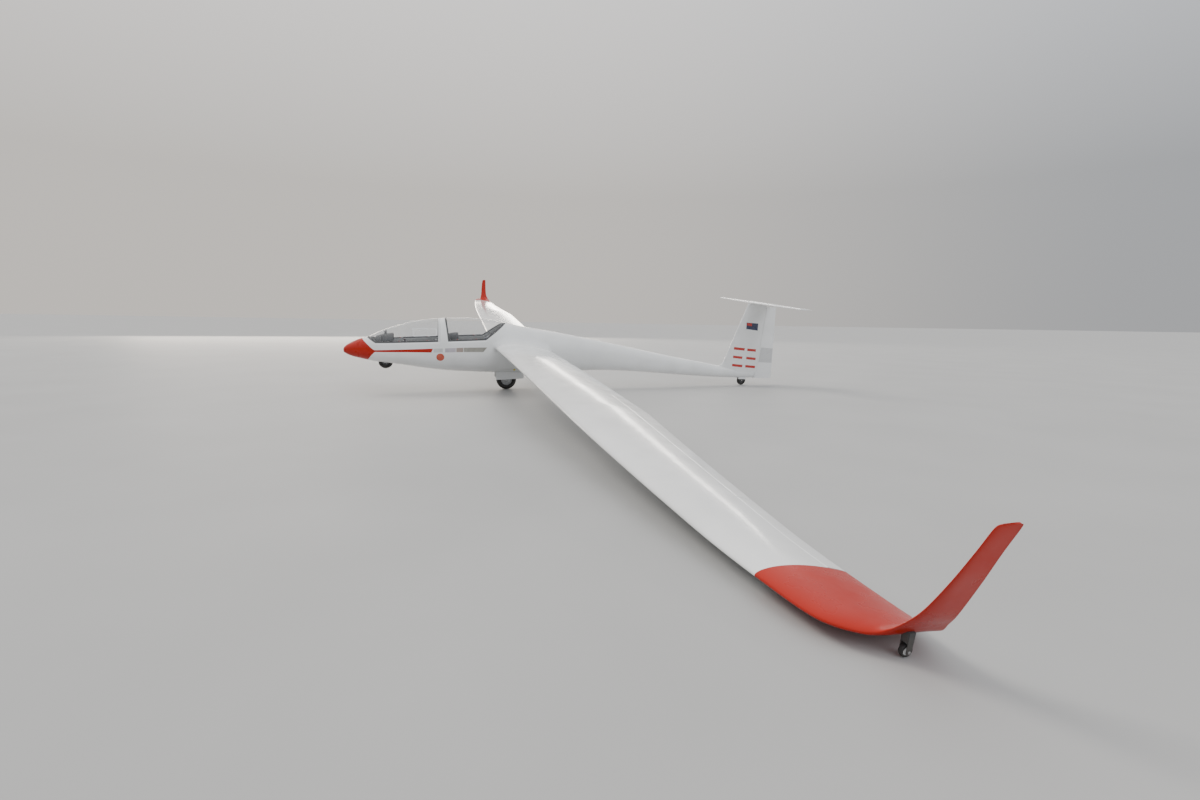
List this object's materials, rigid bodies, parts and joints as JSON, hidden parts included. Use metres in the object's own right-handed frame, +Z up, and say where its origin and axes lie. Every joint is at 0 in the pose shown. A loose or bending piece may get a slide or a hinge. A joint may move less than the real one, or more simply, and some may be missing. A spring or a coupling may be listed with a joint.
{
  "type": "two-seat sailplane glider",
  "caption": "Long-winged T-tail sailplane with two canopies in line, winglets and part-sunk wheels, standing on its main wheel, tail wheel and port wing tip.",
  "frame": {"origin": "centre of the bounding box on the ground", "axes": "+X towards the starboard wing tip, +Y towards the nose, +Z up; the aircraft itself is banked port wing down as it parks"},
  "size_m": [19.4174, 8.8102, 2.7111],
  "materials": {
    "white_gelcoat": "gloss gel coat",
    "red_gelcoat": "gloss gel coat",
    "canopy_frame": "satin",
    "canopy_glass": "clear, polished",
    "panel_black": "matt",
    "seat_grey": "satin",
    "cushion_cloth": "woven",
    "gear_steel": "satin paint",
    "wheel_alloy": "cast",
    "tyre_rubber": "matt"
  },
  "bodies": {
    "airframe": {"fuselage_pod": "white_gelcoat", "tail_boom": "white_gelcoat", "fin": "white_gelcoat", "tailplane": "white_gelcoat", "wing_port": "white_gelcoat", "wingtip_port": "red_gelcoat", "tip_fork_port": "gear_steel", "wing_starboard": "white_gelcoat", "wingtip_starboard": "red_gelcoat", "tip_fork_starboard": "gear_steel", "seat_front": "seat_grey", "cushion_front": "cushion_cloth", "seat_rear": "seat_grey", "cushion_rear": "cushion_cloth", "instrument_panel_front": "panel_black", "instrument_panel_rear": "panel_black", "stick_front": "panel_black", "stick_rear": "panel_black", "main_gear_fork": "gear_steel", "main_axle": "wheel_alloy", "gear_door_port": "white_gelcoat", "gear_door_starboard": "white_gelcoat", "nose_wheel_box": "gear_steel", "tail_wheel_fork": "white_gelcoat"},
    "canopy_front": {"canopy_front_frame": "canopy_frame", "canopy_front_glass": "canopy_glass"},
    "canopy_rear": {"canopy_rear_frame": "canopy_frame", "canopy_rear_glass": "canopy_glass"},
    "rudder": {"rudder": "white_gelcoat"},
    "elevator": {"elevator": "white_gelcoat"},
    "aileron_port_inner": {"aileron_port_inner": "white_gelcoat"},
    "aileron_port_outer": {"aileron_port_outer": "white_gelcoat"},
    "airbrake_port": {"airbrake_port": "white_gelcoat"},
    "tip_wheel_port": {"tip_wheel_port": "tyre_rubber"},
    "aileron_starboard_inner": {"aileron_starboard_inner": "white_gelcoat"},
    "aileron_starboard_outer": {"aileron_starboard_outer": "white_gelcoat"},
    "airbrake_starboard": {"airbrake_starboard": "white_gelcoat"},
    "tip_wheel_starboard": {"tip_wheel_starboard": "tyre_rubber"},
    "main_wheel": {"main_tyre": "tyre_rubber", "main_rim": "wheel_alloy"},
    "nose_wheel": {"nose_tyre": "tyre_rubber", "nose_rim": "wheel_alloy"},
    "tail_wheel": {"tail_tyre": "tyre_rubber", "tail_rim": "wheel_alloy"}
  },
  "joints": [
    {"name": "canopy_front_hinge", "type": "hinge", "parent": "airframe", "child": "canopy_front", "pos_m": [0.43724, 3.3025, 0.93222], "axis": [-0.0015, 0.9996, 0.0293], "range_deg": [0, 80]},
    {"name": "canopy_rear_hinge", "type": "hinge", "parent": "airframe", "child": "canopy_rear", "pos_m": [0.43854, 2.20061, 0.98038], "axis": [-0.0015, 0.9996, 0.0293], "range_deg": [0, 75]},
    {"name": "rudder_hinge", "type": "hinge", "parent": "airframe", "child": "rudder", "pos_m": [0.11558, -4.01126, 0.51711], "axis": [-0.1041, -0.0791, 0.9914], "range_deg": [-30, 30]},
    {"name": "elevator_hinge", "type": "hinge", "parent": "airframe", "child": "elevator", "pos_m": [-0.01671, -4.02612, 1.77829], "axis": [-0.9945, 0.0015, -0.1043], "range_deg": [-20, 20]},
    {"name": "aileron_port_inner_hinge", "type": "hinge", "parent": "airframe", "child": "aileron_port_inner", "pos_m": [-4.61563, 0.87387, 0.44889], "axis": [-0.9953, 0.0295, -0.0922], "range_deg": [-20, 20]},
    {"name": "aileron_port_outer_hinge", "type": "hinge", "parent": "airframe", "child": "aileron_port_outer", "pos_m": [-7.75628, 0.96696, 0.15795], "axis": [-0.9963, 0.0292, -0.0804], "range_deg": [-20, 20]},
    {"name": "airbrake_port_slide", "type": "slide", "parent": "airframe", "child": "airbrake_port", "axis": [-0.0844, -0.029, 0.996], "range_m": [0, 0.1]},
    {"name": "tip_wheel_port_axle", "type": "hinge", "parent": "airframe", "child": "tip_wheel_port", "pos_m": [-9.3727, 1.1179, 0.03176], "axis": [-0.9945, 0.0015, -0.1043], "continuous": true},
    {"name": "aileron_starboard_inner_hinge", "type": "hinge", "parent": "airframe", "child": "aileron_starboard_inner", "pos_m": [4.77287, 0.85941, 1.43351], "axis": [-0.9929, -0.0264, -0.1163], "range_deg": [-20, 20]},
    {"name": "aileron_starboard_outer_hinge", "type": "hinge", "parent": "airframe", "child": "aileron_starboard_outer", "pos_m": [7.90581, 0.94285, 1.80051], "axis": [-0.9914, -0.0261, -0.128], "range_deg": [-20, 20]},
    {"name": "airbrake_starboard_slide", "type": "slide", "parent": "airframe", "child": "airbrake_starboard", "axis": [-0.1241, -0.029, 0.9918], "range_m": [0, 0.1]},
    {"name": "tip_wheel_starboard_axle", "type": "hinge", "parent": "airframe", "child": "tip_wheel_starboard", "pos_m": [9.51369, 1.08882, 2.01247], "axis": [-0.9945, 0.0015, -0.1043], "continuous": true},
    {"name": "main_wheel_axle", "type": "hinge", "parent": "airframe", "child": "main_wheel", "pos_m": [0.15826, 1.50499, 0.19113], "axis": [-0.9945, 0.0015, -0.1043], "continuous": true},
    {"name": "nose_wheel_axle", "type": "hinge", "parent": "airframe", "child": "nose_wheel", "pos_m": [0.12401, 3.70338, 0.55004], "axis": [-0.9945, 0.0015, -0.1043], "continuous": true},
    {"name": "tail_wheel_axle", "type": "hinge", "parent": "airframe", "child": "tail_wheel", "pos_m": [0.15971, -3.6636, 0.10144], "axis": [-0.9945, 0.0015, -0.1043], "continuous": true}
  ],
  "couplings": [
    {"joint": "aileron_port_outer_hinge", "follows": "aileron_port_inner_hinge", "ratio": 1},
    {"joint": "aileron_starboard_inner_hinge", "follows": "aileron_port_inner_hinge", "ratio": -1},
    {"joint": "aileron_starboard_outer_hinge", "follows": "aileron_port_inner_hinge", "ratio": -1},
    {"joint": "airbrake_starboard_slide", "follows": "airbrake_port_slide", "ratio": 1}
  ]
}
